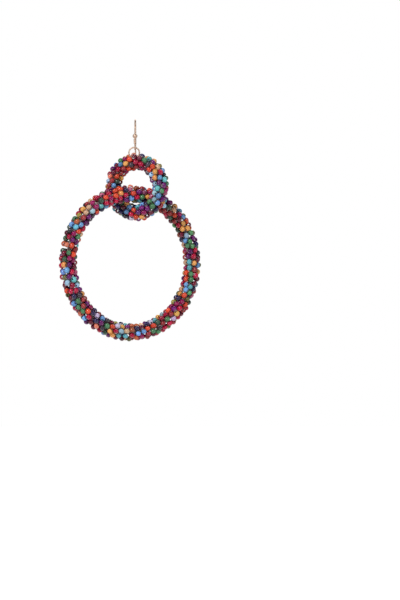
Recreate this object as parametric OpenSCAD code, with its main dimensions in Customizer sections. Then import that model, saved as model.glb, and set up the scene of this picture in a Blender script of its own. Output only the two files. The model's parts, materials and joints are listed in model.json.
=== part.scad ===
// Drop earring: a French hook carries two interlinked hoops wound with seed beads.
// Millimetres, +Z up, front towards -Y. The origin is the underside of the hook's crown,
// where the wire lies in a pierced ear.

/* [Ear wire] */
// Diameter of the hook's wire
wire_d = 0.7; // [0.6:0.05:0.8]
// Distance between the hook's front leg and its tail, centre to centre
hook_span = 9.5; // [9:0.25:12]
// Length of the straight part of the tail
tail_length = 8.6; // [6:0.2:9]
// Radius of the bend that flares the tail outwards
flare_radius = 8; // [6:0.5:12]
// Angle of that bend in degrees
flare_angle = 28; // [10:1:30]
// Outer diameter of the eye at the foot of the front leg
eye_d = 2.8; // [2.6:0.1:3]

/* [Hook trim] */
// Diameter of the ball on the front leg
ball_d = 2.3; // [2:0.1:2.4]
// Height of the ball's centre below the origin
ball_drop = 7.7; // [7:0.1:8]
// Diameter of the fine wire of the coil
coil_wire_d = 0.3; // [0.24:0.02:0.34]
// Number of turns in the coil
coil_turns = 8; // [6:1:10]

/* [Jump ring] */
// Diameter of the jump ring's wire
jump_wire_d = 0.7; // [0.6:0.05:0.8]
// Outer diameter of the jump ring
jump_d = 5.7; // [5.5:0.1:6.4]
// Width of the slit where the ring was closed
jump_slit = 0.07; // [0.05:0.01:0.1]

/* [Hoops] */
// Diameter of the small hoop, centre to centre of its bead rope
small_hoop_d = 24.4; // [24:0.1:25]
// Thickness of the small hoop's bead rope
small_rope_d = 7.8; // [7.4:0.1:7.8]
// Angle that the small hoop is turned about the vertical, in degrees
small_yaw = -22; // [-30:1:-22]
// Diameter of the large hoop, centre to centre of its bead rope
large_hoop_d = 66.4; // [62:0.1:70]
// Thickness of the large hoop's bead rope
large_rope_d = 8; // [7.4:0.1:8]
// Angle that the large hoop is turned about the vertical, in degrees
large_yaw = 28; // [28:1:40]
// Diameter of the ring inside each bead rope
core_d = 2; // [1.6:0.1:2.1]
// Height left between the two ropes where the large hoop hangs in the small one
hang_gap = 1; // [1:0.05:1.4]

/* [Hidden] */
$fn = 64;

// Gaps between pieces
running_gap = 0.03;
seat_gap = 0.2;
trim_gap = 0.05;
turn_gap = 0.02;
eye_gap = 0.15;
core_gap = 0.05;
tunnel_gap = 0.15;
jump_over_core = 0.44;

// Where the jump ring's slit is, in degrees from its right
slit_at = 150;

// Places on the front leg, from the top down
arch_r = hook_span / 2;
arch_z = wire_d / 2 - arch_r;
front_y = -arch_r;
tail_end_z = arch_z - tail_length;
coil_pitch = coil_wire_d + turn_gap;
coil_r = wire_d / 2 + running_gap + coil_wire_d / 2;
coil_top_z = -ball_drop - ball_d / 2 - trim_gap;
coil_end_z = coil_top_z - coil_turns * coil_pitch;
eye_r = (eye_d - wire_d) / 2;
eye_z = coil_end_z - eye_gap - eye_d / 2;

// Places down the drop
jump_r = (jump_d - jump_wire_d) / 2;
pivot_z = eye_z - eye_r + wire_d / 2 + seat_gap + jump_wire_d / 2;
jump_z = pivot_z - jump_r;
small_r = small_hoop_d / 2;
small_z = jump_z - jump_r - jump_wire_d / 2 - jump_over_core - core_d / 2 - small_r;
large_r = large_hoop_d / 2;
large_z = small_z - small_r + (small_rope_d + large_rope_d) / 2 + hang_gap - large_r;

// The jump ring and the hoops hang a little off the hook's centre line, each to its own side
jump_aside = -0.4;
small_aside = 0.8;
small_behind = 0.4;
large_aside = -2;
large_behind = -0.6;
jump_place = [jump_aside, front_y, jump_z];
small_place = [small_aside, front_y + small_behind, small_z];
large_place = [large_aside, front_y + large_behind, large_z];

gold = "#c9a78a";
bead_colour = "#8c2f4d";
core_colour = "#b79f9b";

// A round wire bent to a circle about the X axis, from one angle to another.
// Angle 0 points along +Y and 90 points up.
module bend_x(radius, thickness, from, turn)
    rotate([90, 0, 90])
        rotate([0, 0, from])
            rotate_extrude(angle = turn)
                translate([radius, 0])
                    circle(d = thickness);

// A closed or split ring facing along Y, with its slit centred on the angle given.
module ring_y(radius, thickness, gap_angle = 0, gap_at = 0)
    rotate([90, 0, 0])
        rotate([0, 0, gap_at + gap_angle / 2])
            rotate_extrude(angle = 360 - gap_angle)
                translate([radius, 0])
                    circle(d = thickness);

// A hoop's rope as a tube round its core, facing along Y
module rope(radius, rope_d)
    rotate([90, 0, 0])
        rotate_extrude()
            translate([radius, 0])
                difference() {
                    circle(d = rope_d);
                    circle(d = core_d + 2 * core_gap);
                }

// French hook: front leg, arch, tail and the eye that closes the front leg
module ear_wire() color(gold) {
    leg_end_z = eye_z + eye_r;
    translate([0, front_y, leg_end_z])
        cylinder(h = arch_z - leg_end_z, d = wire_d);
    translate([0, front_y, eye_z])
        bend_x(eye_r, wire_d, 0, 360);
    translate([0, 0, arch_z])
        bend_x(arch_r, wire_d, 0, 180);
    translate([0, arch_r, tail_end_z])
        cylinder(h = tail_length, d = wire_d);
    translate([0, arch_r + flare_radius, tail_end_z])
        bend_x(flare_radius, wire_d, 180, flare_angle);
    translate([0, arch_r + flare_radius * (1 - cos(flare_angle)),
               tail_end_z - flare_radius * sin(flare_angle)])
        sphere(d = wire_d);
}

// Ball with a bore for the wire
module hook_ball() color(gold)
    translate([0, front_y, -ball_drop])
        difference() {
            sphere(d = ball_d);
            cylinder(h = ball_d + 1, r = wire_d / 2 + running_gap, center = true);
        }

// Coil of fine wire, its turns drawn as rings that touch
module hook_coil() color(gold)
    translate([0, front_y, coil_end_z])
        rotate_extrude()
            difference() {
                union() {
                    for (i = [0 : coil_turns - 1])
                        translate([coil_r, (i + 0.5) * coil_pitch])
                            circle(d = coil_wire_d);
                    translate([coil_r - coil_wire_d / 4, coil_pitch / 2])
                        square([coil_wire_d / 2, (coil_turns - 1) * coil_pitch]);
                }
                square([wire_d / 2 + running_gap, coil_turns * coil_pitch]);
            }

// Split ring that hangs in the eye
module jump_ring() color(gold)
    translate(jump_place)
        ring_y(jump_r, jump_wire_d, jump_slit / jump_r * 180 / PI, slit_at);

// Ring that the small hoop's beads are wound on
module small_ring_core() color(core_colour)
    translate(small_place)
        rotate([0, 0, small_yaw])
            ring_y(small_r, core_d);

// Field of beads on the small hoop, with a tunnel for the jump ring
module small_ring_beads() color(bead_colour)
    difference() {
        translate(small_place)
            rotate([0, 0, small_yaw])
                rope(small_r, small_rope_d);
        translate(jump_place)
            ring_y(jump_r, jump_wire_d + 2 * tunnel_gap);
    }

// Ring that the large hoop's beads are wound on
module large_ring_core() color(core_colour)
    translate(large_place)
        rotate([0, 0, large_yaw])
            ring_y(large_r, core_d);

// Field of beads on the large hoop
module large_ring_beads() color(bead_colour)
    translate(large_place)
        rotate([0, 0, large_yaw])
            rope(large_r, large_rope_d);

ear_wire();
hook_ball();
hook_coil();
jump_ring();
small_ring_core();
small_ring_beads();
large_ring_core();
large_ring_beads();
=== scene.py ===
"""Looks of a drop earring: a French hook carries two interlinked hoops wound with seed beads.

Sizes are in millimetres until a mesh is built, and every place is worked out from the frame's nodes.
"""

import json
import logging
import math
from collections.abc import Iterable
from dataclasses import dataclass, field
from enum import Enum

import bpy
import numpy as np
from mathutils import Matrix, Vector


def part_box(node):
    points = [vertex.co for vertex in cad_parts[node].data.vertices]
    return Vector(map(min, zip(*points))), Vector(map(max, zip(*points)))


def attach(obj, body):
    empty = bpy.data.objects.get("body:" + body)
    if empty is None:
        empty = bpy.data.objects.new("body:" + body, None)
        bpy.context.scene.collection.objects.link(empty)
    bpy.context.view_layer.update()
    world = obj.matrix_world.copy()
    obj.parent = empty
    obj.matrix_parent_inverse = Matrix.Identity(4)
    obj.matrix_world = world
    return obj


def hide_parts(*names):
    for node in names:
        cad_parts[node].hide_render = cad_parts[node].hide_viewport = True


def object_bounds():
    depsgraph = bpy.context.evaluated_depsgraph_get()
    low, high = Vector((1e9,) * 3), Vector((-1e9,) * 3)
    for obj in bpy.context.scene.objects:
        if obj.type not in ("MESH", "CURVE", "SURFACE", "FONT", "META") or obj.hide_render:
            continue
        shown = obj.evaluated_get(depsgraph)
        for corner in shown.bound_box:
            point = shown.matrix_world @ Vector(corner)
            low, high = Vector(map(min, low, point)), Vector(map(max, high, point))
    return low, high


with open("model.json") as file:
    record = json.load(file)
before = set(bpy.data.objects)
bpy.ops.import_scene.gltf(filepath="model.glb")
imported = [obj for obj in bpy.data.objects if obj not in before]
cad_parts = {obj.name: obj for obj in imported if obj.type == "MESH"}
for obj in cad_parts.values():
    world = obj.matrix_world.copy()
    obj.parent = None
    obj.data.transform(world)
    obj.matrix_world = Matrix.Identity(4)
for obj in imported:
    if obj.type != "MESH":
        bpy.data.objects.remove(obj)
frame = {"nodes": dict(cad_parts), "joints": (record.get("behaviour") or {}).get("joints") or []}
CAD_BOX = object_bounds()

LOG = logging.getLogger("earring")
MM = 0.001
FULL_TURN = 2 * math.pi
BAKE_MAP = "OFBake"

# Steps in which a joint's range is gone through
SWEEP_STEPS = 25

# A direction that no path starts in, to find a first step across it
ASKEW = (0.3, 0.8, 0.5)

Colour = tuple[float, float, float, float]
WHITE: Colour = (1.0, 1.0, 1.0, 1.0)


def linear(shade: str) -> Colour:
    """Turn a display colour into the linear values that shaders use.

    Args:
        shade: Six hexadecimal digits, such as "c02040".

    Returns:
        Linear red, green and blue, and an alpha of 1.
    """
    shares = [int(shade[start : start + 2], 16) / 255 for start in (0, 2, 4)]
    red, green, blue = (
        share / 12.92 if share <= 0.04045 else ((share + 0.055) / 1.055) ** 2.4 for share in shares
    )
    return red, green, blue, 1.0


def unit(vectors: np.ndarray) -> np.ndarray:
    """Scale vectors, one in each row, to a length of 1."""
    return vectors / np.linalg.norm(vectors, axis=-1, keepdims=True)


class Glass(Enum):
    """The kinds of bead glass, by how much light they let through."""

    OPAQUE = 0
    OPAL = 1
    CLEAR = 2


@dataclass(frozen=True)
class BeadColour:
    """One colour of the bead mix.

    Attributes:
        name: Plain name of the colour.
        shade: Display colour as six hexadecimal digits.
        glass: The kind of glass.
        share: How often it comes in the mix, against the others.
    """

    name: str
    shade: str
    glass: Glass
    share: float


BEAD_MIX = (
    BeadColour("crimson", "b4083c", Glass.CLEAR, 2.4),
    BeadColour("maroon", "6a1430", Glass.CLEAR, 1.8),
    BeadColour("raspberry", "940e54", Glass.CLEAR, 1.2),
    BeadColour("purple", "681066", Glass.CLEAR, 1.4),
    BeadColour("midnight", "2c2652", Glass.CLEAR, 1.1),
    BeadColour("bottle_green", "3e5c48", Glass.CLEAR, 0.9),
    BeadColour("olive", "686836", Glass.CLEAR, 0.8),
    BeadColour("mustard", "a0903c", Glass.CLEAR, 0.3),
    BeadColour("smoke", "443a46", Glass.CLEAR, 0.6),
    BeadColour("ice", "c4b8d4", Glass.CLEAR, 0.35),
    BeadColour("rose", "b45c80", Glass.OPAL, 0.5),
    BeadColour("peach", "e4b490", Glass.OPAL, 0.65),
    BeadColour("salmon", "dc7a62", Glass.OPAL, 0.6),
    BeadColour("vermilion", "d84a2e", Glass.OPAQUE, 1.2),
    BeadColour("amber", "e09e56", Glass.OPAQUE, 0.8),
    BeadColour("cornflower", "6a9cd4", Glass.OPAQUE, 0.75),
    BeadColour("mist_blue", "98b8ce", Glass.OPAQUE, 0.45),
    BeadColour("turquoise", "5eaab4", Glass.OPAQUE, 0.8),
    BeadColour("leaf_green", "4c8458", Glass.OPAQUE, 0.6),
    BeadColour("brick", "9a3438", Glass.OPAQUE, 1.0),
    BeadColour("rust", "b45e3c", Glass.OPAQUE, 0.5),
)
COLOUR_NAMES = [colour.name for colour in BEAD_MIX]

# The pale colour painted in the hole of some beads, partly a lining and partly painted light that stands
# in for the light seen through the hole and caught at its mouth: its colour, how often each kind of glass
# has it, how strongly it covers the glass, and how far it reaches from the axis, against the hole's diameter
LINING_AND_HOLE_LIGHT = linear("ecdfe6")
LIT_HOLE_SHARES = {Glass.OPAQUE: 0.04, Glass.OPAL: 0.16, Glass.CLEAR: 0.22}
HOLE_LIGHT_STRENGTH = 0.75
HOLE_LIGHT_REACH = 0.6

# How much beads of one colour differ in depth and in tint, and the limits of both
DEPTH_SPREAD = 0.16
DEPTH_LIMITS = (0.6, 1.4)
TINT_SPREAD = 0.05
TINT_LIMITS = (0.8, 1.2)

# How far apart the beads' own places lie in the noise of their glass
PLACE_SPREAD = 50


class Wiring:
    """A node tree to which nodes and wires are added."""

    def __init__(self, tree: bpy.types.NodeTree) -> None:
        """Empty the tree and keep it.

        Args:
            tree: The node tree to fill.
        """
        self.tree = tree
        tree.nodes.clear()

    def node(self, kind: str, **settings: object) -> bpy.types.Node:
        """Add one node.

        Args:
            kind: Type of the node, without its ShaderNode prefix.
            **settings: Properties to set on it.

        Returns:
            The new node.
        """
        prefix = "" if kind.startswith("NodeGroup") else "ShaderNode"
        made = self.tree.nodes.new(prefix + kind)
        for name, value in settings.items():
            setattr(made, name, value)
        return made

    def wire(self, source: bpy.types.NodeSocket, target: bpy.types.NodeSocket) -> None:
        """Join an output to an input."""
        self.tree.links.new(source, target)

    def surface(self, shader: str, output: str) -> bpy.types.Node:
        """Add a shader and join it to an output node.

        Args:
            shader: Type of the shader.
            output: Type of the output node.

        Returns:
            The shader.
        """
        made = self.node(shader)
        self.wire(made.outputs[0], self.node(output).inputs["Surface"])
        return made

    def math(self, operation: str, *terms: bpy.types.NodeSocket | float) -> bpy.types.NodeSocket:
        """Work out a value from others.

        Args:
            operation: Name of the operation.
            *terms: Its numbers, or the outputs that give them.

        Returns:
            The output with the result.
        """
        made = self.node("Math", operation=operation)
        for socket, term in zip(made.inputs, terms, strict=False):
            if isinstance(term, bpy.types.NodeSocket):
                self.wire(term, socket)
            else:
                socket.default_value = term
        return made.outputs[0]


def new_material(name: str) -> tuple[bpy.types.Material, Wiring, bpy.types.Node]:
    """Make a material with one main shader.

    Args:
        name: Name of the material.

    Returns:
        The material, its wiring and its shader.
    """
    material = bpy.data.materials.new(name)
    material.use_nodes = True
    net = Wiring(material.node_tree)
    return material, net, net.surface("BsdfPrincipled", "OutputMaterial")


class Effect:
    """A shader group, shared by the materials that show it."""

    SOCKETS = {float: "NodeSocketFloat", tuple: "NodeSocketColor", Vector: "NodeSocketVector"}

    def __init__(self, name: str, inputs: dict[str, object], outputs: dict[str, type]) -> None:
        """Make the group and its sockets.

        Args:
            name: Name of the group.
            inputs: Name and default value of each input.
            outputs: Name and type of each output.
        """
        self.group = bpy.data.node_groups.new(name, "ShaderNodeTree")
        self.net = Wiring(self.group)
        for label, default in inputs.items():
            kind = self.SOCKETS[type(default)]
            socket = self.group.interface.new_socket(label, in_out="INPUT", socket_type=kind)
            socket.default_value = default
        for label, made in outputs.items():
            self.group.interface.new_socket(label, in_out="OUTPUT", socket_type=self.SOCKETS[made])
        self.given = self.net.node("NodeGroupInput").outputs
        self.result = self.net.node("NodeGroupOutput").inputs

    def noise(self, scale: float, detail: float, place: bpy.types.NodeSocket) -> bpy.types.NodeSocket:
        """Add a noise texture.

        Args:
            scale: Number of its cells in a unit of the place.
            detail: Number of finer layers.
            place: Output that gives the place.

        Returns:
            The output with the noise, about 0.5.
        """
        made = self.net.node("TexNoise")
        made.inputs["Scale"].default_value = scale
        made.inputs["Detail"].default_value = detail
        self.net.wire(place, made.inputs["Vector"])
        return made.outputs["Fac"]


class DrawnGlass(Effect):
    """Streaks that run along a bead's hole, as in glass drawn into a tube, and a faintly uneven skin."""

    STRETCH = (0.25, 1.0, 1.0)
    SKIN_HAZE = 0.16

    def __init__(self) -> None:
        """Build the group."""
        super().__init__(
            "drawn_glass",
            {"Colour": (0.5, 0.5, 0.5, 1.0), "Place": Vector(), "Streaks": 0.3, "Haze": 0.05},
            {"Colour": tuple, "Roughness": float, "Height": float},
        )
        net = self.net
        stretched = net.node("VectorMath", operation="MULTIPLY")
        net.wire(self.given["Place"], stretched.inputs[0])
        stretched.inputs[1].default_value = self.STRETCH
        streaks = self.noise(scale=2.4, detail=2.0, place=stretched.outputs[0])
        skin = self.noise(scale=3.2, detail=3.0, place=self.given["Place"])
        centred = net.math("MULTIPLY_ADD", streaks, 2.0, -1.0)
        level = net.math("MULTIPLY_ADD", centred, self.given["Streaks"], 1.0)
        toned = net.node("HueSaturation")
        net.wire(self.given["Colour"], toned.inputs["Color"])
        net.wire(level, toned.inputs["Value"])
        net.wire(toned.outputs["Color"], self.result["Colour"])
        haze = net.math("MULTIPLY_ADD", skin, self.SKIN_HAZE, self.given["Haze"])
        net.wire(haze, self.result["Roughness"])
        net.wire(skin, self.result["Height"])


class PlatedMetal(Effect):
    """Plate that is tarnished in spots, with fine marks from drawing and polishing."""

    SPOT_RANGE = (0.42, 0.68)
    TARNISH_HAZE = 0.4

    def __init__(self) -> None:
        """Build the group."""
        super().__init__(
            "plated_metal",
            {
                "Colour": (0.8, 0.6, 0.5, 1.0),
                "Tarnish Colour": (0.3, 0.2, 0.1, 1.0),
                "Tarnish": 0.3,
                "Haze": 0.2,
            },
            {"Colour": tuple, "Roughness": float, "Height": float},
        )
        net = self.net
        place = net.node("TexCoord").outputs["Object"]
        spots = net.node("MapRange")
        spots.inputs["From Min"].default_value, spots.inputs["From Max"].default_value = self.SPOT_RANGE
        net.wire(self.noise(scale=700.0, detail=4.0, place=place), spots.inputs["Value"])
        worn = net.math("MULTIPLY", spots.outputs["Result"], self.given["Tarnish"])
        marks = self.noise(scale=5200.0, detail=2.0, place=place)
        blend = net.node("Mix", data_type="RGBA")
        net.wire(worn, blend.inputs["Factor"])
        net.wire(self.given["Colour"], blend.inputs["A"])
        net.wire(self.given["Tarnish Colour"], blend.inputs["B"])
        net.wire(blend.outputs["Result"], self.result["Colour"])
        haze = net.math("MULTIPLY_ADD", worn, self.TARNISH_HAZE, self.given["Haze"])
        net.wire(haze, self.result["Roughness"])
        net.wire(marks, self.result["Height"])


class SpunFibre(Effect):
    """The uneven colour and nap of thread, cord and other matt stuff, with painted shade that darkens the
    nap's hollows.
    """

    def __init__(self) -> None:
        """Build the group."""
        super().__init__(
            "spun_fibre",
            {"Colour": (0.8, 0.8, 0.8, 1.0), "Painted Hollow Shade": (0.4, 0.4, 0.4, 1.0)},
            {"Colour": tuple, "Height": float},
        )
        net = self.net
        place = net.node("TexCoord").outputs["Object"]
        nap = self.noise(scale=3800.0, detail=3.0, place=place)
        # Painted shade: the colour goes darker where the nap is low, by the same noise that gives the bump
        blend = net.node("Mix", data_type="RGBA")
        net.wire(nap, blend.inputs["Factor"])
        net.wire(self.given["Painted Hollow Shade"], blend.inputs["A"])
        net.wire(self.given["Colour"], blend.inputs["B"])
        net.wire(blend.outputs["Result"], self.result["Colour"])
        net.wire(nap, self.result["Height"])


@dataclass
class EffectShelf:
    """The shared effects, built once.

    Attributes:
        glass: The effect of bead glass.
        metal: The effect of plated metal.
        fibre: The effect of thread and cord.
    """

    glass: DrawnGlass = field(default_factory=DrawnGlass)
    metal: PlatedMetal = field(default_factory=PlatedMetal)
    fibre: SpunFibre = field(default_factory=SpunFibre)


@dataclass(frozen=True)
class Finish:
    """What every finish has: a name, a relief and a way to start its material.

    Attributes:
        name: Name of the material.
        relief: Strength of its bump.
        relief_height: Height of its bump, in millimetres.
    """

    name: str
    relief: float
    relief_height: float

    def start(
        self, effect: Effect, values: dict[str, object]
    ) -> tuple[bpy.types.Material, Wiring, bpy.types.Node, bpy.types.Node]:
        """Make a material whose colour, roughness and bump come from an effect.

        Args:
            effect: The shared effect.
            values: The value of each of its inputs.

        Returns:
            The material, its wiring, its main shader and the node that holds the effect.
        """
        material, net, shader = new_material(self.name)
        shown = net.node("Group", node_tree=effect.group)
        for label, value in values.items():
            shown.inputs[label].default_value = value
        net.wire(shown.outputs["Colour"], shader.inputs["Base Color"])
        if "Roughness" in shown.outputs:
            net.wire(shown.outputs["Roughness"], shader.inputs["Roughness"])
        bump = net.node("Bump")
        bump.inputs["Strength"].default_value = self.relief
        bump.inputs["Distance"].default_value = self.relief_height * MM
        net.wire(shown.outputs["Height"], bump.inputs["Height"])
        net.wire(bump.outputs["Normal"], shader.inputs["Normal"])
        return material, net, shader, shown


@dataclass(frozen=True)
class GlassFinish(Finish):
    """Polished bead glass, whose colour each bead brings along.

    Attributes:
        streaks: Strength of the streaks inside a bead.
        haze: Roughness of the polished skin.
        transmission: Share of the light that goes through.
        index: Refractive index.
        mirroring: Strength of its reflections, where 0.5 is that of new polished glass.
    """

    streaks: float
    haze: float
    transmission: float
    index: float = 1.5
    mirroring: float = 0.45

    def build(self, effects: EffectShelf) -> bpy.types.Material:
        """Make the material.

        Args:
            effects: The shared effects.

        Returns:
            The new material.
        """
        values = {"Streaks": self.streaks, "Haze": self.haze}
        material, net, shader, shown = self.start(effects.glass, values)
        net.wire(net.node("Attribute", attribute_name="shade").outputs["Color"], shown.inputs["Colour"])
        net.wire(net.node("Attribute", attribute_name="own_place").outputs["Vector"], shown.inputs["Place"])
        shader.inputs["IOR"].default_value = self.index
        shader.inputs["Transmission Weight"].default_value = self.transmission
        shader.inputs["Specular IOR Level"].default_value = self.mirroring
        return material


@dataclass(frozen=True)
class MetalFinish(Finish):
    """Plated metal.

    Attributes:
        shade: Display colour of the clean plate.
        tarnish_shade: Display colour where it has tarnished.
        tarnish: How much it has tarnished.
        haze: Roughness of the clean plate.
        metallic: How much it shines as metal does, less where a lacquer dulls it.
    """

    shade: str
    tarnish_shade: str
    tarnish: float
    haze: float
    metallic: float = 0.75

    def build(self, effects: EffectShelf) -> bpy.types.Material:
        """Make the material.

        Args:
            effects: The shared effects.

        Returns:
            The new material.
        """
        values = {
            "Colour": linear(self.shade),
            "Tarnish Colour": linear(self.tarnish_shade),
            "Tarnish": self.tarnish,
            "Haze": self.haze,
        }
        material, _, shader, _ = self.start(effects.metal, values)
        shader.inputs["Metallic"].default_value = self.metallic
        return material


@dataclass(frozen=True)
class FibreFinish(Finish):
    """Thread or cord.

    Attributes:
        shade: Display colour of its raised parts.
        painted_hollow_shade: Display colour of its hollows, made darker as painted shade.
        roughness: Roughness of its surface.
    """

    shade: str
    painted_hollow_shade: str
    roughness: float

    def build(self, effects: EffectShelf) -> bpy.types.Material:
        """Make the material.

        Args:
            effects: The shared effects.

        Returns:
            The new material.
        """
        values = {"Colour": linear(self.shade), "Painted Hollow Shade": linear(self.painted_hollow_shade)}
        material, _, shader, _ = self.start(effects.fibre, values)
        shader.inputs["Roughness"].default_value = self.roughness
        return material


OPAQUE_GLASS = GlassFinish("opaque_bead_glass", 0.1, 0.03, streaks=0.12, haze=0.1, transmission=0.0)
OPAL_GLASS = GlassFinish("opal_bead_glass", 0.1, 0.03, streaks=0.16, haze=0.12, transmission=0.1)
CLEAR_GLASS = GlassFinish("clear_bead_glass", 0.1, 0.03, streaks=0.25, haze=0.1, transmission=0.08)
ROSE_GOLD = MetalFinish(
    "rose_gold_plate", 0.12, 0.02, shade="e6c9b3", tarnish_shade="a4826a", tarnish=0.4, haze=0.42
)
BEADING_THREAD = FibreFinish(
    "waxed_beading_thread", 0.5, 0.03, shade="a08a88", painted_hollow_shade="6c5658", roughness=0.55
)
CORE_CORD = FibreFinish(
    "wrapped_core", 0.6, 0.06, shade="bca6a2", painted_hollow_shade="84706e", roughness=0.7
)


def dress(piece: bpy.types.Object, materials: Iterable[bpy.types.Material]) -> None:
    """Give a piece its materials in place of those it has.

    Args:
        piece: The piece.
        materials: The new materials, in the order of its slots.
    """
    given = list(materials)
    slots = piece.data.materials
    for index, material in enumerate(given):
        if index < len(slots):
            slots[index] = material
        else:
            slots.append(material)


def put(name: str, data: bpy.types.ID) -> bpy.types.Object:
    """Put a mesh, lamp or camera in the scene as a new object.

    Args:
        name: Name of the object.
        data: What it is made of.

    Returns:
        The new object.
    """
    made = bpy.data.objects.new(name, data)
    bpy.context.scene.collection.objects.link(made)
    return made


def build_mesh(
    name: str, points: np.ndarray, quads: np.ndarray, ends: Iterable[np.ndarray] = ()
) -> bpy.types.Object:
    """Make a smooth mesh object from points in millimetres.

    Args:
        name: Name of the piece.
        points: Its points, one in each row.
        quads: Its four-cornered faces.
        ends: The corners of each face that closes an end.

    Returns:
        The new object, with its origin at the frame's.
    """
    closing = list(ends)
    corners = np.concatenate([quads.ravel(), *closing]).astype(np.int32)
    totals = np.concatenate([np.full(len(quads), 4), [len(end) for end in closing]]).astype(np.int32)
    mesh = bpy.data.meshes.new(name)
    mesh.vertices.add(len(points))
    mesh.vertices.foreach_set("co", (points * MM).astype(np.float32).ravel())
    mesh.loops.add(len(corners))
    mesh.loops.foreach_set("vertex_index", corners)
    mesh.polygons.add(len(totals))
    mesh.polygons.foreach_set("loop_start", (np.cumsum(totals) - totals).astype(np.int32))
    mesh.update(calc_edges=True)
    mesh.shade_smooth()
    return put(name, mesh)


def tube(
    path: np.ndarray, radius: float, sides: int, closed: bool
) -> tuple[np.ndarray, np.ndarray, list[np.ndarray]]:
    """Sweep a round section along a path.

    Args:
        path: Points of its middle line, one in each row.
        radius: Radius of the tube.
        sides: Number of its sides.
        closed: Whether the path joins its own start.

    Returns:
        The points, the four-cornered faces and the faces that close its ends.
    """
    ahead = np.roll(path, -1, axis=0) - np.roll(path, 1, axis=0)
    if not closed:
        ahead[0] = path[1] - path[0]
        ahead[-1] = path[-1] - path[-2]
    ahead = unit(ahead)
    out = np.empty_like(path)
    start = np.cross(ahead[0], ASKEW)
    for index, along in enumerate(ahead):
        start = start - along * (start @ along)
        start = start / np.linalg.norm(start)
        out[index] = start
    across = np.cross(ahead, out)
    turn = np.arange(sides) * FULL_TURN / sides
    section = np.cos(turn)[None, :, None] * out[:, None] + np.sin(turn)[None, :, None] * across[:, None]
    points = (path[:, None] + radius * section).reshape(-1, 3)
    rings = len(path) if closed else len(path) - 1
    total = len(points)
    side = np.arange(sides)
    here = np.arange(rings)[:, None] * sides + side
    beside = np.arange(rings)[:, None] * sides + (side + 1) % sides
    quads = np.stack([here, beside, (beside + sides) % total, (here + sides) % total], axis=-1)
    ends = [] if closed else [side[::-1], total - sides + side]
    return points, quads.reshape(-1, 4), ends


@dataclass(frozen=True)
class SeedBead:
    """A drilled, rounded glass bead with its hole along its first axis.

    Attributes:
        diameter: Outer diameter.
        length: Length along the hole.
        hole: Diameter of the hole.
        sides: Number of sides round the hole.
        shoulder_angles: Where the points of the round side lie, in degrees from its middle.
    """

    diameter: float = 2.8
    length: float = 2.2
    hole: float = 1.1
    sides: int = 16
    shoulder_angles: tuple[float, ...] = (25.0, 46.0, 61.0)

    @property
    def half_axis(self) -> float:
        """Half the length of the ellipse that the round side follows, past the hole's mouth."""
        return self.length / 2 / math.sin(math.acos(self.hole / self.diameter))

    def profile(self) -> np.ndarray:
        """Work out the bead's section as a closed loop.

        Returns:
            For each point its place along the hole and its distance from the hole's axis.
        """
        shoulder = [
            (self.half_axis * math.sin(angle), self.diameter / 2 * math.cos(angle))
            for angle in map(math.radians, self.shoulder_angles)
        ]
        right = [*shoulder, (self.length / 2, self.hole / 2)]
        left = [(-along, reach) for along, reach in reversed(right)]
        return np.array([(0.0, self.diameter / 2), *right, *left])

    def shape(self) -> tuple[np.ndarray, np.ndarray, np.ndarray]:
        """Turn the section round the hole.

        Returns:
            The points, the four-cornered faces, and each face's corners on a flat map of the bead.
        """
        profile = self.profile()
        turn = np.arange(self.sides)[:, None] * FULL_TURN / self.sides
        along = np.broadcast_to(profile[:, 0], (self.sides, len(profile)))
        points = np.stack([along, profile[:, 1] * np.cos(turn), profile[:, 1] * np.sin(turn)], axis=-1)
        side, step = np.meshgrid(np.arange(self.sides), np.arange(len(profile)), indexing="ij")
        corners = [(side, step), (side, step + 1), (side + 1, step + 1), (side + 1, step)]
        quads = [a % self.sides * len(profile) + b % len(profile) for a, b in corners]
        flat = [np.stack([a / self.sides, b / len(profile)], axis=-1) for a, b in corners]
        return (
            points.reshape(-1, 3),
            np.stack(quads, axis=-1).reshape(-1, 4),
            np.stack(flat, axis=-2).reshape(-1, 4, 2),
        )


@dataclass(frozen=True)
class Accent:
    """A patch where beads of like colours have come together.

    Attributes:
        round_hoop: Its angle round the hoop in degrees, 0 at the hoop's right and 90 at its top.
        round_core: Its angle round the core in degrees, 0 outwards and -90 in front.
        reach: How far it goes from its middle.
        colours: Names of its colours.
    """

    round_hoop: float
    round_core: float
    reach: float
    colours: tuple[str, ...]


@dataclass(frozen=True)
class Keepout:
    """A line that the beads stay clear of.

    Attributes:
        line: Points along it, one in each row.
        radius: How far from it the beads' skin stays.
    """

    line: np.ndarray
    radius: float

    def clear(self, centres: np.ndarray, radii: np.ndarray) -> np.ndarray:
        """Move beads that are too near the line straight away from its nearest point.

        Args:
            centres: The beads' centres.
            radii: Each bead's radius.

        Returns:
            The centres, each clear of the point of the line that was nearest to it.
        """
        offsets = centres[:, None] - self.line[None]
        distances = np.linalg.norm(offsets, axis=-1)
        closest = distances.argmin(axis=1)
        rows = np.arange(len(centres))
        short = np.clip(radii + self.radius - distances[rows, closest], 0, None)
        return centres + short[:, None] * unit(offsets[rows, closest])


def sweep(points: np.ndarray, joint: str, sense: int = 1) -> np.ndarray:
    """Gather where points come as a joint turns over its range.

    Args:
        points: The points, one in each row.
        joint: Name of the joint.
        sense: 1 as the joint turns, or -1 as what turns with it sees the points.

    Returns:
        The points at each step of the range.
    """
    hinge = next(made for made in frame["joints"] if made["name"] == joint)
    pivot = np.array(hinge["pos_m"]) / MM
    low, high = np.radians(hinge["range_deg"])
    places = []
    for angle in np.linspace(low, high, SWEEP_STEPS):
        spin = np.array(Matrix.Rotation(sense * angle, 3, Vector(hinge["axis"])))
        places.append(pivot + (points - pivot) @ spin.T)
    return np.concatenate(places)


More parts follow.
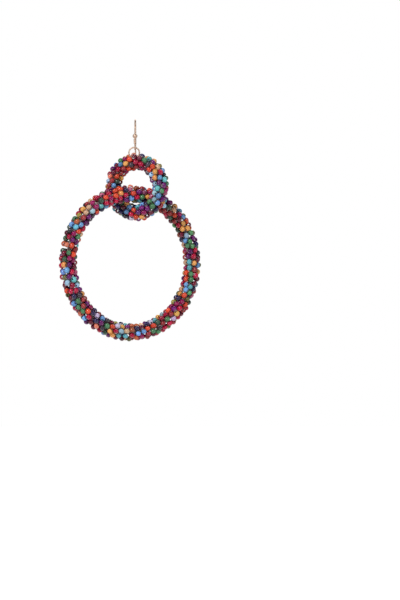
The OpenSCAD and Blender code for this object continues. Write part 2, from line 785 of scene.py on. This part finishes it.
@dataclass(frozen=True)
class JumpRing:
    """The wire ring between the hook and the small hoop, as the frame has it.

    Attributes:
        node: Name of its node.
        play: Room that the beads leave beside its wire.
        steps: Points round its wire's middle line.
    """

    node: str = "jump_ring"
    play: float = 0.05
    steps: int = 96

    def measure(self) -> tuple[np.ndarray, float, float]:
        """Read the ring's sizes.

        Returns:
            Its centre, the radius of its wire's middle line and the wire's diameter.
        """
        low, high = (np.array(corner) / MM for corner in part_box(self.node))
        wire = high[1] - low[1]
        return (low + high) / 2, (high[0] - low[0] - wire) / 2, wire

    def keepout(self) -> Keepout:
        """Give the room that its wire takes among the beads."""
        centre, radius, wire = self.measure()
        turn = np.linspace(0, FULL_TURN, self.steps, endpoint=False)
        line = centre + radius * np.stack([np.cos(turn), np.zeros_like(turn), np.sin(turn)], axis=-1)
        return Keepout(line, wire / 2 + self.play)

    def lift(self, path: np.ndarray, radius: float) -> np.ndarray:
        """Raise a thread over the ring's wire wherever it would run into its lower half.

        Args:
            path: Points along the thread, one in each row.
            radius: Radius of the thread.

        Returns:
            The path with those points raised.
        """
        centre, ring, wire = self.measure()
        room = wire / 2 + radius + self.play
        aside, behind, _ = (path - centre).T
        drop = np.sqrt(np.clip(ring**2 - aside**2, 0, None))
        rise = np.sqrt(np.clip(room**2 - behind**2, 0, None))
        over = centre[2] - drop + rise
        under = over - 2 * rise
        height = path[:, 2]
        meets = (np.abs(aside) < ring) & (np.abs(behind) < room) & (height > under) & (height < over)
        raised = path.copy()
        raised[meets, 2] = over[meets]
        return raised


@dataclass
class BeadedHoop:
    """A hoop whose core is wound with one long strand of seed beads.

    Attributes:
        name: Name that its nodes begin with.
        body: The body that it rides on.
        yaw: Its turn about the upright, in degrees.
        rope: Thickness of the wound rope.
        turns: Number of times the strand goes round the core.
        seed: Start of its random draws.
        seam: Angle round the hoop where the strand starts and ends, in degrees.
        proud: How far the beads' crowns stand out past the frame's rope.
        unevenness: How much that differs from bead to bead.
        spacing: Mean distance between beads along the strand.
        keepouts: Lines that the beads stay clear of.
        accents: Patches where like colours come together.
        ring: The jump ring that passes under the strand, if one does.
        bead: The bead that the strand is made of.
        thread: Diameter of the thread.
        thread_steps: Points of the thread from one bead to the next.
        thread_sides: Number of the thread's sides.
        core: Diameter of the core.
        size_spread: How much a bead's size differs from the usual one.
        size_limits: The smallest and the largest size.
        length_spread: How much a bead's length differs besides.
        length_limits: The least and the greatest of that.
        crown_limits: The lowest and the highest crown, in units of the unevenness.
        tilt_spread: How much a bead leans away from the strand.
        wander: How far from its even place a bead starts to settle.
        path_steps: Points along each turn of the strand, for its length.
        settle_steps: Number of steps in which the beads settle.
        give: Share of an overlap that is pushed away in a step.
        tension: Share of a stretch of thread that is pulled back in a step.
        slack: How far neighbours may part before the thread pulls, against the spacing.
        leeway: Least height over the core that a bead has to settle in.
        play: Room left between the beads and the core or the other hoop.
        upper_arc: Ends of the part that the other hoop hangs clear of, in degrees round the hoop.
        slit_arc: Ends of a slit, in degrees round the core.
        slit_points: Points along a slit.
        slit_width: Width of a slit.
    """

    name: str
    body: str
    yaw: float
    rope: float
    turns: int
    seed: int
    seam: float
    proud: float = 0.38
    unevenness: float = 0.16
    spacing: float = 2.45
    keepouts: tuple[Keepout, ...] = ()
    accents: tuple[Accent, ...] = ()
    ring: JumpRing | None = None
    bead: SeedBead = SeedBead()
    thread: float = 0.22
    thread_steps: int = 5
    thread_sides: int = 5
    core: float = 2.0
    size_spread: float = 0.05
    size_limits: tuple[float, float] = (0.88, 1.06)
    length_spread: float = 0.03
    length_limits: tuple[float, float] = (0.88, 1.08)
    crown_limits: tuple[float, float] = (-2.0, 1.5)
    tilt_spread: float = 0.09
    wander: float = 0.22
    path_steps: int = 180
    settle_steps: int = 200
    give: float = 0.4
    tension: float = 0.3
    slack: float = 1.25
    leeway: float = 0.05
    play: float = 0.04
    upper_arc: tuple[float, float] = (45.0, 126.0)
    slit_arc: tuple[float, float] = (115.0, -75.0)
    slit_points: int = 60
    slit_width: float = 0.75

    def __post_init__(self) -> None:
        """Read the hoop's place and radius from the frame."""
        low, high = (np.array(corner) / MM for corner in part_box(f"{self.name}_beads"))
        self.centre = (low + high) / 2
        self.radius = (high[2] - low[2] - self.rope) / 2
        yaw = math.radians(self.yaw)
        self.across = np.array((math.cos(yaw), math.sin(yaw), 0.0))
        self.behind = np.array((-math.sin(yaw), math.cos(yaw), 0.0))
        self.up = np.array((0.0, 0.0, 1.0))
        self.random = np.random.default_rng(self.seed)

    def place(self, round_hoop: np.ndarray, round_core: np.ndarray, reach: np.ndarray | float) -> np.ndarray:
        """Find points beside the core.

        Args:
            round_hoop: Angles round the hoop, in radians.
            round_core: Angles round the core, in radians, 0 outwards and a quarter turn behind.
            reach: Distance from the core's middle line.

        Returns:
            The points, one in each row.
        """
        hoop, core = np.asarray(round_hoop, float)[..., None], np.asarray(round_core, float)[..., None]
        outward = np.cos(hoop) * self.across + np.sin(hoop) * self.up
        beside = np.cos(core) * outward + np.sin(core) * self.behind
        return self.centre + self.radius * outward + np.asarray(reach)[..., None] * beside

    def from_core(self, points: np.ndarray) -> tuple[np.ndarray, np.ndarray]:
        """Find the nearest points on the core's middle line.

        Args:
            points: Points beside the core, one in each row.

        Returns:
            The nearest points on the middle line, and the steps from them to the given ones.
        """
        offset = points - self.centre
        flat = offset - (offset @ self.behind)[:, None] * self.behind
        nearest = self.centre + self.radius * unit(flat)
        return nearest, points - nearest

    def skin(self, centres: np.ndarray) -> np.ndarray:
        """Draw how far from the core's middle line each bead may reach.

        Args:
            centres: The beads' centres.

        Returns:
            The distance for each bead.
        """
        uneven = self.random.normal(0, self.unevenness, len(centres))
        lowest, highest = (limit * self.unevenness for limit in self.crown_limits)
        return self.rope / 2 + self.proud + uneven.clip(lowest, highest)

    def rope_room(self, joint: str) -> Keepout:
        """Give the room that the upper part of the frame's plain rope takes as a joint turns it.

        Args:
            joint: Name of the joint.

        Returns:
            The room, as the other hoop's beads have to leave it.
        """
        upper = np.radians(np.arange(*self.upper_arc))
        line = self.place(upper, np.zeros_like(upper), 0.0)
        return Keepout(sweep(line, joint), self.rope / 2 + self.play)

    def bead_room(self, joint: str) -> Keepout:
        """Give the room that the beads of the lower part take as a joint turns the other hoop in it.

        Args:
            joint: Name of the joint.

        Returns:
            The room, as the other hoop's beads have to leave it.
        """
        lower = self.centres[self.centres[:, 2] < self.centre[2]]
        return Keepout(sweep(lower, joint, sense=-1), self.bead.diameter / 2 + self.play)

    def parting(self, turn: int) -> Keepout:
        """Give the room of a slit between two turns of the strand, over the outer side to the front.

        Args:
            turn: The number of the turn that ends there, counted from the seam.

        Returns:
            The room.
        """
        core = np.linspace(*self.slit_arc, self.slit_points)
        between = turn - 0.5
        round_hoop = self.seam + (between - core / 360) * 360 / self.turns
        reach = (self.rope - self.bead.diameter) / 2 + self.proud
        return Keepout(self.place(np.radians(round_hoop), np.radians(core), reach), self.slit_width / 2)

    def wind(self) -> np.ndarray:
        """Lay the beads evenly along the strand, with a little wander.

        Returns:
            The beads' centres in the order of the strand.
        """
        steps = self.turns * self.path_steps
        share = np.arange(steps + 1) / steps
        strand_radius = (self.rope - self.bead.diameter) / 2 + self.proud
        round_hoop = math.radians(self.seam) + share * FULL_TURN
        path = self.place(round_hoop, -share * self.turns * FULL_TURN, strand_radius)
        run = np.concatenate([[0.0], np.cumsum(np.linalg.norm(np.diff(path, axis=0), axis=1))])
        count = round(run[-1] / self.spacing)
        wanted = np.arange(count) * run[-1] / count
        centres = np.stack([np.interp(wanted, run, axis) for axis in path.T], axis=-1)
        return centres + self.random.normal(0, self.wander, centres.shape)

    def axes(self, centres: np.ndarray) -> np.ndarray:
        """Find the way each bead's hole points, along the strand."""
        return unit(np.roll(centres, -1, axis=0) - np.roll(centres, 1, axis=0))

    def settle(self, centres: np.ndarray, sizes: np.ndarray) -> np.ndarray:
        """Push the beads apart step by step, until they lie beside each other with little overlap.

        Args:
            centres: The beads' centres in the order of the strand.
            sizes: Each bead's size against the usual one.

        Returns:
            The settled centres.
        """
        radius = self.bead.diameter / 2
        thinner = self.bead.half_axis**2 - radius**2
        lowest = self.core / 2 + self.play + radius * sizes
        highest = np.maximum(self.skin(centres) - radius * sizes, lowest + self.leeway)
        alone = np.eye(len(centres), dtype=bool)
        for _ in range(self.settle_steps):
            holes = self.axes(centres)
            gaps = centres[:, None] - centres[None]
            apart = np.linalg.norm(gaps, axis=-1)
            apart[alone] = 1.0
            ways = gaps / apart[..., None]
            lean = np.einsum("ijk,ik->ij", ways, holes)
            reach = np.sqrt(radius**2 + thinner * lean**2) * sizes[:, None]
            overlap = np.clip(reach + reach.T - apart, 0, None)
            overlap[alone] = 0.0
            push = self.give * (ways * overlap[..., None]).sum(axis=1)
            link = np.roll(centres, -1, axis=0) - centres
            stretch = np.linalg.norm(link, axis=1) - self.slack * self.spacing
            pull = self.tension * np.clip(stretch, 0, None)[:, None] * unit(link)
            push += pull - np.roll(pull, 1, axis=0)
            nearest, offset = self.from_core(centres + push)
            reach = np.clip(np.linalg.norm(offset, axis=1), lowest, highest)
            centres = nearest + unit(offset) * reach[:, None]
            for keepout in self.keepouts:
                centres = keepout.clear(centres, radius * sizes)
        return centres

    def colours(self, centres: np.ndarray) -> np.ndarray:
        """Draw each bead's colour from the mix, and follow the accents.

        Args:
            centres: The beads' centres.

        Returns:
            For each bead the place of its colour in the mix.
        """
        shares = np.array([colour.share for colour in BEAD_MIX])
        drawn = self.random.choice(len(BEAD_MIX), len(centres), p=shares / shares.sum())
        for accent in self.accents:
            middle = self.place(
                math.radians(accent.round_hoop), math.radians(accent.round_core), self.rope / 2
            )
            distance = np.linalg.norm(centres - middle, axis=1)
            for order, index in enumerate(np.flatnonzero(distance < accent.reach)):
                drawn[index] = COLOUR_NAMES.index(accent.colours[order % len(accent.colours)])
        return drawn

    def build_beads(self, centres: np.ndarray, sizes: np.ndarray) -> bpy.types.Object:
        """Make all the beads as one mesh.

        Args:
            centres: The beads' centres in the order of the strand.
            sizes: Each bead's size against the usual one.

        Returns:
            The new piece.
        """
        count = len(centres)
        points, quads, flat = self.bead.shape()
        holes = unit(self.axes(centres) + self.random.normal(0, self.tilt_spread, centres.shape))
        _, offset = self.from_core(centres)
        outward = unit(offset - (offset * holes).sum(axis=1, keepdims=True) * holes)
        turn = self.random.uniform(0, FULL_TURN, count)[:, None]
        beside = np.cross(holes, outward)
        second = np.cos(turn) * outward + np.sin(turn) * beside
        frames = np.stack([holes, second, np.cross(holes, second)], axis=1)
        lengths = sizes * self.random.normal(1, self.length_spread, count).clip(*self.length_limits)
        scales = np.stack([lengths, sizes, sizes], axis=-1)
        local = points[None] * scales[:, None]
        placed = centres[:, None] + local @ frames
        first = np.arange(count)[:, None, None] * len(points)
        made = build_mesh(
            f"{self.name}_seed_beads", placed.reshape(-1, 3), (quads[None] + first).reshape(-1, 4)
        )
        self.paint(made, local, centres, len(quads))
        self.lay_flat(made, flat, count)
        return made

    def paint(self, made: bpy.types.Object, local: np.ndarray, centres: np.ndarray, faces: int) -> None:
        """Give each bead its colour, with painted light in the holes of some, its kind of glass and its own
        coordinates.

        Args:
            made: The beads' mesh object.
            local: For each bead its points in its own axes.
            centres: The beads' centres.
            faces: Number of faces of one bead.
        """
        count, size, _ = local.shape
        drawn = self.colours(centres)
        shades = np.array([linear(colour.shade) for colour in BEAD_MIX])[drawn]
        shades[:, :3] *= self.random.normal(1, DEPTH_SPREAD, (count, 1)).clip(*DEPTH_LIMITS)
        shades[:, :3] *= self.random.normal(1, TINT_SPREAD, (count, 3)).clip(*TINT_LIMITS)
        # Painted light: some beads get a pale colour at the hole's mouth and wall, partly a lining and
        # partly standing in for light seen through the hole
        mouth = np.linalg.norm(local[0, :, 1:], axis=1) < self.bead.hole * HOLE_LIGHT_REACH
        shares = np.array([LIT_HOLE_SHARES[colour.glass] for colour in BEAD_MIX])[drawn]
        lined_and_lit = self.random.random(count) < shares
        pale = HOLE_LIGHT_STRENGTH * (lined_and_lit[:, None] & mouth)[..., None]
        painted = shades[:, None] * (1 - pale) + np.array(LINING_AND_HOLE_LIGHT) * pale
        shade = made.data.attributes.new("shade", "FLOAT_COLOR", "POINT")
        shade.data.foreach_set("color", painted.clip(0, 1).astype(np.float32).ravel())
        offsets = self.random.uniform(-PLACE_SPREAD, PLACE_SPREAD, (count, 1, 3))
        own_place = made.data.attributes.new("own_place", "FLOAT_VECTOR", "POINT")
        own_place.data.foreach_set("vector", (local + offsets).astype(np.float32).ravel())
        slots = np.array([colour.glass.value for colour in BEAD_MIX])[drawn]
        made.data.polygons.foreach_set("material_index", np.repeat(slots, faces).astype(np.int32))

    def lay_flat(self, made: bpy.types.Object, flat: np.ndarray, count: int) -> None:
        """Give each bead its own square on a map of the piece.

        Args:
            made: The beads' mesh object.
            flat: Each face's corners on a flat map of one bead.
            count: Number of beads.
        """
        across = math.ceil(math.sqrt(count))
        margin = 0.04
        cells = np.stack([np.arange(count) % across, np.arange(count) // across], axis=-1)
        corners = (cells[:, None, None] + margin + (1 - 2 * margin) * flat[None]) / across
        layer = made.data.uv_layers.new(name=BAKE_MAP)
        layer.data.foreach_set("uv", corners.astype(np.float32).ravel())

    def build_thread(self, centres: np.ndarray) -> bpy.types.Object:
        """Make the thread that runs through the beads, as a Catmull-Rom curve through their centres.

        Args:
            centres: The beads' centres in the order of the strand.

        Returns:
            The new piece.
        """
        knots = [np.roll(centres, -step, axis=0) for step in (-1, 0, 1, 2)]
        path = []
        for share in np.arange(self.thread_steps) / self.thread_steps:
            weights = (
                -share + 2 * share**2 - share**3,
                2 - 5 * share**2 + 3 * share**3,
                share + 4 * share**2 - 3 * share**3,
                -(share**2) + share**3,
            )
            path.append(sum(weight * knot for weight, knot in zip(weights, knots, strict=True)) / 2)
        line = np.stack(path, axis=1).reshape(-1, 3)
        if self.ring:
            line = self.ring.lift(line, self.thread / 2)
        points, quads, ends = tube(line, self.thread / 2, self.thread_sides, closed=True)
        return build_mesh(f"{self.name}_thread", points, quads, ends)

    def build(
        self, glasses: list[bpy.types.Material], thread: bpy.types.Material, core: bpy.types.Material
    ) -> None:
        """Make the hoop's pieces and dress them.

        Args:
            glasses: The bead glasses, in the order of their kinds.
            thread: Material of the thread.
            core: Material of the core.
        """
        wound = self.wind()
        sizes = self.random.normal(1, self.size_spread, len(wound)).clip(*self.size_limits)
        self.centres = self.settle(wound, sizes)
        beads = self.build_beads(self.centres, sizes)
        dress(beads, glasses)
        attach(beads, self.body)
        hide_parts(f"{self.name}_beads")
        line = self.build_thread(self.centres)
        dress(line, [thread])
        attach(line, self.body)
        dress(frame["nodes"][f"{self.name}_core"], [core])
        LOG.info("%s: %d beads in %d turns", self.name, len(self.centres), self.turns)


@dataclass
class EarHook:
    """The French hook with its ball and the coil of fine wire below it.

    Attributes:
        body: The body that it rides on.
        coil_wire: Diameter of the coil's wire.
        coil_turns: Number of the coil's turns.
        steps: Points in each turn of the coil.
        sides: Number of sides of the coil's wire.
    """

    body: str = "ear_hook"
    coil_wire: float = 0.3
    coil_turns: int = 8
    steps: int = 28
    sides: int = 10

    def build_coil(self) -> bpy.types.Object:
        """Make the coil as one wire wound in a helix, in the room of the frame's plain coil.

        Returns:
            The new piece.
        """
        low, high = (np.array(corner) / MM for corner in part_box("hook_coil"))
        middle = (low + high) / 2
        radius = (high[0] - low[0] - self.coil_wire) / 2
        share = np.linspace(0, 1, self.coil_turns * self.steps + 1)
        turn = share * self.coil_turns * FULL_TURN
        height = low[2] + self.coil_wire / 2 + share * (high[2] - low[2] - self.coil_wire)
        level = middle[:2] + radius * np.stack([np.cos(turn), np.sin(turn)], axis=-1)
        path = np.column_stack([level, height])
        points, quads, ends = tube(path, self.coil_wire / 2, self.sides, closed=False)
        return build_mesh("hook_coil_wire", points, quads, ends)

    def build(self, metal: bpy.types.Material) -> None:
        """Make the coil and dress the hook, its ball and the jump ring.

        Args:
            metal: Material of all the metal.
        """
        coil = self.build_coil()
        dress(coil, [metal])
        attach(coil, self.body)
        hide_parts("hook_coil")
        for node in ("ear_wire", "hook_ball", "jump_ring"):
            dress(frame["nodes"][node], [metal])
        LOG.info("hook: wire, ball, coil of %d turns and jump ring", self.coil_turns)


@dataclass(frozen=True)
class SoftBox:
    """A soft studio lamp aimed at the earring.

    Attributes:
        name: Name of the lamp.
        place: Where it stands from the earring's middle, in metres.
        size: Side of its square face, in metres.
        power: Its power in watts.
    """

    name: str
    place: tuple[float, float, float]
    size: float
    power: float

    def build(self, target: Vector) -> None:
        """Make the lamp.

        Args:
            target: The point it is aimed at.
        """
        data = bpy.data.lights.new(self.name, "AREA")
        data.size = self.size
        data.energy = self.power
        lamp = put(self.name, data)
        lamp.location = target + Vector(self.place)
        lamp.rotation_euler = (-Vector(self.place)).to_track_quat("-Z", "Y").to_euler()


@dataclass
class Studio:
    """A white studio: floor, surroundings, lamps and the camera. Its sizes are in metres.

    Attributes:
        frame_right: How far the picture's middle lies to the right of the hook.
        frame_below: How far the picture's middle lies below the hook's crown.
        distance: Distance from the camera to the hook's front.
        lens: Focal length in millimetres, for a sensor 36 mm long.
        floor_drop: Depth of the floor below the hook's crown.
        floor_reach: Half the side of the floor.
        floor_grey: Lightness of the floor, from 0 to 1.
        floor_roughness: Roughness of the floor.
        nearest: Distance from which the camera sees.
        farthest: Distance to which the camera sees.
        surround: Strength of the light from all round.
        mirrored: Strength of the surroundings where a surface mirrors them.
        lamps: The soft lamps.
    """

    frame_right: float = 0.0312
    frame_below: float = 0.0864
    distance: float = 1.2
    lens: float = 150.0
    floor_drop: float = 0.26
    floor_reach: float = 2.2
    floor_grey: float = 0.95
    floor_roughness: float = 0.8
    nearest: float = 0.05
    farthest: float = 20.0
    surround: float = 0.21
    mirrored: float = 0.06
    lamps: tuple[SoftBox, ...] = (
        SoftBox("key_lamp", (-0.55, -0.85, 0.75), 0.5, 10.8),
        SoftBox("fill_lamp", (0.8, -0.6, 0.25), 0.7, 3.4),
        SoftBox("back_lamp", (0.2, 0.9, 0.8), 0.6, 4.5),
    )

    def build_surroundings(self) -> None:
        """Make white surroundings that light the earring less than they show, so that the lamps shape it."""
        world = bpy.data.worlds.new("white_studio")
        world.use_nodes = True
        net = Wiring(world.node_tree)
        sky = net.surface("Background", "OutputWorld")
        sky.inputs["Color"].default_value = WHITE
        ray = net.node("LightPath").outputs
        seen = net.math("MULTIPLY_ADD", ray["Is Camera Ray"], 1.0 - self.surround, self.surround)
        strength = net.math("MULTIPLY_ADD", ray["Is Glossy Ray"], self.mirrored - self.surround, seen)
        net.wire(strength, sky.inputs["Strength"])
        bpy.context.scene.world = world
        bpy.context.scene.view_settings.view_transform = "Standard"

    def build_floor(self) -> None:
        """Make the pale floor, far below the hanging earring."""
        reach = self.floor_reach / MM
        square = np.array([(-1.0, -1.0), (1.0, -1.0), (1.0, 1.0), (-1.0, 1.0)]) * reach
        points = np.column_stack([square, np.full(4, -self.floor_drop / MM)])
        floor = build_mesh("floor", points, np.arange(4)[None])
        material, net, shader = new_material("white_floor")
        shader.inputs["Base Color"].default_value = (*[self.floor_grey] * 3, 1.0)
        shader.inputs["Roughness"].default_value = self.floor_roughness
        shader.inputs["Emission Color"].default_value = WHITE
        net.wire(net.node("LightPath").outputs["Is Camera Ray"], shader.inputs["Emission Strength"])
        dress(floor, [material])

    def build_camera(self) -> None:
        """Make the camera, level and square to the hook, as the photograph was taken."""
        data = bpy.data.cameras.new("camera")
        data.lens = self.lens
        data.clip_start = self.nearest
        data.clip_end = self.farthest
        camera = put("camera", data)
        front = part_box("jump_ring")[0].y
        camera.location = (self.frame_right, front - self.distance, -self.frame_below)
        camera.rotation_euler = (math.radians(90), 0, 0)
        bpy.context.scene.camera = camera

    def build(self) -> None:
        """Make the whole studio."""
        self.build_surroundings()
        self.build_floor()
        self.build_camera()
        target = (CAD_BOX[0] + CAD_BOX[1]) / 2
        for lamp in self.lamps:
            lamp.build(target)
        LOG.info("studio: %d lamps", len(self.lamps))


SMALL_HOOP_ACCENTS = (
    Accent(120, -76, 2.0, ("cornflower",)),
    Accent(108, -95, 2.0, ("amber",)),
    Accent(98, -66, 2.0, ("vermilion",)),
    Accent(82, -88, 2.8, ("crimson", "maroon")),
    Accent(69, -104, 2.2, ("crimson",)),
    Accent(67, -45, 2.4, ("turquoise", "leaf_green")),
    Accent(43, -102, 2.4, ("crimson", "vermilion")),
    Accent(38, -64, 2.0, ("vermilion",)),
    Accent(28, -80, 2.2, ("amber",)),
    Accent(15, -10, 2.0, ("turquoise",)),
    Accent(-4, -105, 2.8, ("mist_blue", "turquoise", "cornflower")),
    Accent(-30, -88, 3.0, ("cornflower", "mist_blue", "cornflower")),
    Accent(-48, -75, 2.2, ("leaf_green", "amber")),
    Accent(-70, -80, 3.2, ("purple", "raspberry", "purple")),
    Accent(-87, -58, 2.2, ("vermilion", "amber")),
    Accent(-108, -105, 2.2, ("cornflower",)),
    Accent(-122, -60, 3.0, ("midnight", "midnight", "maroon")),
    Accent(140, -80, 3.2, ("maroon", "crimson", "purple")),
    Accent(160, -68, 2.4, ("salmon", "brick")),
    Accent(171, -114, 1.5, ("cornflower",)),
)
LARGE_HOOP_ACCENTS = (
    Accent(83, -128, 2.0, ("leaf_green",)),
    Accent(90, -128, 1.6, ("cornflower",)),
    Accent(90, -92, 2.0, ("vermilion",)),
    Accent(112, -80, 3.8, ("vermilion", "crimson", "raspberry", "crimson")),
    Accent(103, -45, 2.4, ("vermilion", "amber")),
    Accent(133, -82, 2.2, ("mist_blue",)),
    Accent(135, -38, 2.4, ("peach", "amber")),
    Accent(151, -30, 2.3, ("cornflower", "turquoise")),
    Accent(128, -40, 2.4, ("raspberry", "maroon")),
    Accent(47, -120, 2.6, ("vermilion", "brick")),
    Accent(31, -112, 3.2, ("amber",)),
    Accent(24, -124, 2.6, ("cornflower", "mist_blue")),
    Accent(16, -112, 2.4, ("leaf_green",)),
    Accent(7, -105, 3.4, ("crimson", "purple")),
    Accent(-2, -125, 2.8, ("turquoise", "amber")),
    Accent(-11, -104, 2.6, ("leaf_green", "crimson")),
    Accent(-21, -126, 2.6, ("cornflower", "turquoise")),
    Accent(-31, -85, 3.0, ("olive", "vermilion", "leaf_green")),
    Accent(-45, -70, 2.4, ("amber", "vermilion")),
    Accent(-60, -70, 3.2, ("crimson", "brick")),
    Accent(-73, -95, 3.0, ("vermilion", "leaf_green", "vermilion")),
    Accent(-98, -60, 3.0, ("mist_blue", "turquoise", "peach")),
    Accent(-113, -78, 3.0, ("leaf_green", "amber", "vermilion")),
    Accent(-129, -100, 3.0, ("midnight", "midnight", "ice")),
    Accent(-138, -56, 2.6, ("leaf_green", "vermilion")),
    Accent(-145, -80, 3.0, ("leaf_green", "brick")),
    Accent(-148, -28, 2.2, ("cornflower",)),
    Accent(-168, -85, 3.0, ("crimson", "purple", "turquoise")),
    Accent(-177, -60, 3.0, ("amber", "purple", "cornflower")),
    Accent(172, -60, 3.0, ("maroon", "leaf_green")),
    Accent(160, -60, 3.4, ("raspberry", "crimson", "purple")),
)

# The turn of the large hoop's strand, counted from its seam, that ends at the slit
SLIT_TURN = 16


def main() -> None:
    """Build the earring piece by piece, and the studio round it."""
    logging.basicConfig(level=logging.INFO, format="%(name)s: %(message)s")
    effects = EffectShelf()
    glasses = [finish.build(effects) for finish in (OPAQUE_GLASS, OPAL_GLASS, CLEAR_GLASS)]
    metal = ROSE_GOLD.build(effects)
    thread = BEADING_THREAD.build(effects)
    core = CORE_CORD.build(effects)
    EarHook().build(metal)
    ring = JumpRing()
    large = BeadedHoop(
        "large_ring",
        "lower_drop",
        yaw=28,
        rope=8.0,
        turns=71,
        seed=23,
        seam=90,
        accents=LARGE_HOOP_ACCENTS,
    )
    small = BeadedHoop(
        "small_ring",
        "upper_drop",
        yaw=-22,
        rope=7.8,
        turns=28,
        seed=11,
        seam=-87.8,
        keepouts=(ring.keepout(), large.rope_room("ring_turn")),
        accents=SMALL_HOOP_ACCENTS,
        ring=ring,
    )
    small.build(glasses, thread, core)
    large.keepouts = (large.parting(SLIT_TURN), small.bead_room("ring_turn"))
    large.build(glasses, thread, core)
    Studio().build()


if __name__ == "__main__":
    main()
